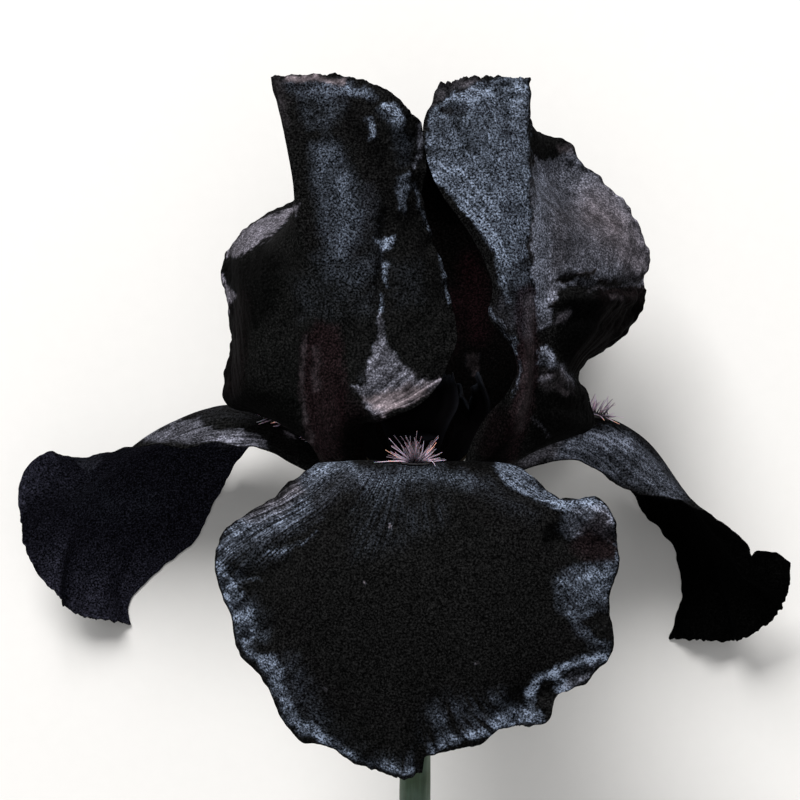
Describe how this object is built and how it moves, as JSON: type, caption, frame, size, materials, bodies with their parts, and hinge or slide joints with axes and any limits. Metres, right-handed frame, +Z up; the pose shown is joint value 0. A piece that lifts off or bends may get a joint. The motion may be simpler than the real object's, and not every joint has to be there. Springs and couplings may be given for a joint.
{
  "type": "bearded iris flower",
  "caption": "Picked bearded iris flower lying on its back, with upright and hanging ruffled petals, beards, style arms, ovary and a short cut stem.",
  "frame": {"origin": "centre of the base of the flower's box, on the surface that it lies on", "axes": "+Y from the cut stem to the tips of the upright petals, +Z up, the way the front fall faces, +X to the right of someone who faces the upright flower"},
  "size_m": [0.1612, 0.176, 0.0911],
  "materials": {
    "petal": "velvety near-black petal with a blue-grey sheen",
    "beard": "soft lilac-white hairs",
    "style": "matte dark plum",
    "anther": "dusty cream",
    "green": "waxy grey-green stem and ovary",
    "spathe": "green bract, papery at its edges"
  },
  "bodies": {
    "root": {"fall_front": "petal", "fall_left": "petal", "fall_right": "petal", "standard_left": "petal", "standard_right": "petal", "standard_back": "petal", "beard_front": "beard", "beard_left": "beard", "beard_right": "beard", "style": "style", "stamen_front": "anther", "stamen_left": "anther", "stamen_right": "anther", "tube_and_ovary": "green", "spathe_left": "spathe", "spathe_right": "spathe", "stem": "green"}
  },
  "joints": []
}
